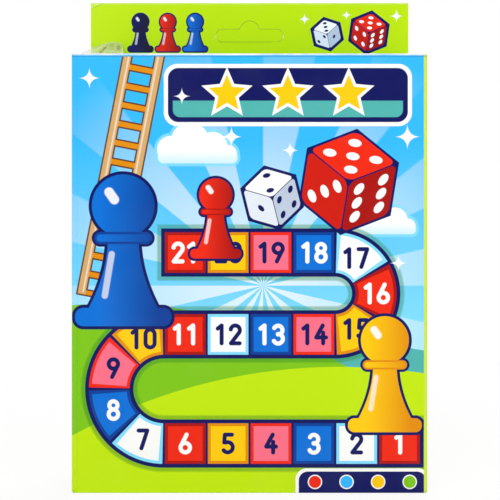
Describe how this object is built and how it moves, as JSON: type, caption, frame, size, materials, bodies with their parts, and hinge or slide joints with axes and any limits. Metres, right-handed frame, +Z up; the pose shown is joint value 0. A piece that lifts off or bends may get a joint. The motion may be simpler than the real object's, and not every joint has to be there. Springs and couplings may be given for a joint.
{
  "type": "boxed snakes and ladders game",
  "caption": "Upright straight-tuck carton with a hanging header and creased opening flaps, holding a folding snakes and ladders board, a moulded tray, pawns, a die and a rules leaflet.",
  "frame": {"origin": "centre of the carton's footprint on the ground", "axes": "+Z up through the hanging header, the front panel faces -Y, +X to the right seen from the front"},
  "size_m": [0.158, 0.04, 0.229],
  "materials": {
    "printed_front": "gloss-varnished print",
    "printed_lime": "gloss-varnished print",
    "raw_boxboard": "uncoated",
    "clear_tape": "clear, creased",
    "game_board": "litho-laminated greyboard",
    "hinge_cloth": "bookbinding cloth",
    "moulded_tray": "vacuum formed",
    "pawn_red": "moulded",
    "pawn_blue": "moulded",
    "pawn_yellow": "moulded",
    "pawn_green": "moulded",
    "die": "polished",
    "leaflet_paper": "uncoated"
  },
  "bodies": {
    "carton": {"front_panel": "printed_front", "back_panel": "printed_lime", "left_side_panel": "printed_lime", "right_side_panel": "printed_lime", "glue_flap": "raw_boxboard", "header_front_ply": "printed_lime", "board_leaf_1": "game_board", "board_leaf_2": "game_board", "board_leaf_3": "game_board", "board_leaf_4": "game_board", "board_hinge_front": "hinge_cloth", "board_hinge_spine": "hinge_cloth", "board_hinge_rear": "hinge_cloth", "insert_tray": "moulded_tray", "pawn_red": "pawn_red", "pawn_blue": "pawn_blue", "pawn_yellow": "pawn_yellow", "pawn_green": "pawn_green", "die": "die", "rules_leaflet": "leaflet_paper"},
    "hang_flap": {"hang_slot_flap": "printed_lime"},
    "top_lid": {"top_lid": "printed_front", "tape_seal": "clear_tape"},
    "top_tuck": {"top_tuck_flap": "printed_front"},
    "top_dust_left": {"top_dust_flap_left": "printed_lime"},
    "top_dust_right": {"top_dust_flap_right": "printed_lime"},
    "bottom_lid": {"bottom_lid": "printed_lime"},
    "bottom_tuck": {"bottom_tuck_flap": "printed_lime"},
    "bottom_dust_left": {"bottom_dust_flap_left": "printed_lime"},
    "bottom_dust_right": {"bottom_dust_flap_right": "printed_lime"}
  },
  "joints": [
    {"name": "top_lid_crease", "type": "hinge", "parent": "carton", "child": "top_lid", "pos_m": [0, -0.0195, 0.1945], "axis": [1, 0, 0], "range_deg": [0, 170]},
    {"name": "top_tuck_crease", "type": "hinge", "parent": "top_lid", "child": "top_tuck", "pos_m": [0, 0.018, 0.1945], "axis": [1, 0, 0], "range_deg": [0, 51]},
    {"name": "top_dust_left_crease", "type": "hinge", "parent": "carton", "child": "top_dust_left", "pos_m": [-0.0785, 0, 0.1939], "axis": [0, -1, 0], "range_deg": [0, 85]},
    {"name": "top_dust_right_crease", "type": "hinge", "parent": "carton", "child": "top_dust_right", "pos_m": [0.0785, 0, 0.1939], "axis": [0, 1, 0], "range_deg": [0, 85]},
    {"name": "bottom_lid_crease", "type": "hinge", "parent": "carton", "child": "bottom_lid", "pos_m": [0, -0.0195, 0.0005], "axis": [-1, 0, 0], "range_deg": [0, 170]},
    {"name": "bottom_tuck_crease", "type": "hinge", "parent": "bottom_lid", "child": "bottom_tuck", "pos_m": [0, 0.018, 0.0005], "axis": [-1, 0, 0], "range_deg": [0, 51]},
    {"name": "bottom_dust_left_crease", "type": "hinge", "parent": "carton", "child": "bottom_dust_left", "pos_m": [-0.0785, 0, 0.0011], "axis": [0, 1, 0], "range_deg": [0, 85]},
    {"name": "bottom_dust_right_crease", "type": "hinge", "parent": "carton", "child": "bottom_dust_right", "pos_m": [0.0785, 0, 0.0011], "axis": [0, -1, 0], "range_deg": [0, 85]},
    {"name": "hang_flap_crease", "type": "hinge", "parent": "carton", "child": "hang_flap", "pos_m": [0, 0.02, 0.21], "axis": [-1, 0, 0], "range_deg": [0, 120]}
  ],
  "couplings": [
    {"joint": "top_tuck_crease", "follows": "top_lid_crease", "ratio": 0.3},
    {"joint": "top_dust_left_crease", "follows": "top_lid_crease", "ratio": 0.5},
    {"joint": "top_dust_right_crease", "follows": "top_lid_crease", "ratio": 0.5},
    {"joint": "bottom_tuck_crease", "follows": "bottom_lid_crease", "ratio": 0.3},
    {"joint": "bottom_dust_left_crease", "follows": "bottom_lid_crease", "ratio": 0.5},
    {"joint": "bottom_dust_right_crease", "follows": "bottom_lid_crease", "ratio": 0.5}
  ]
}
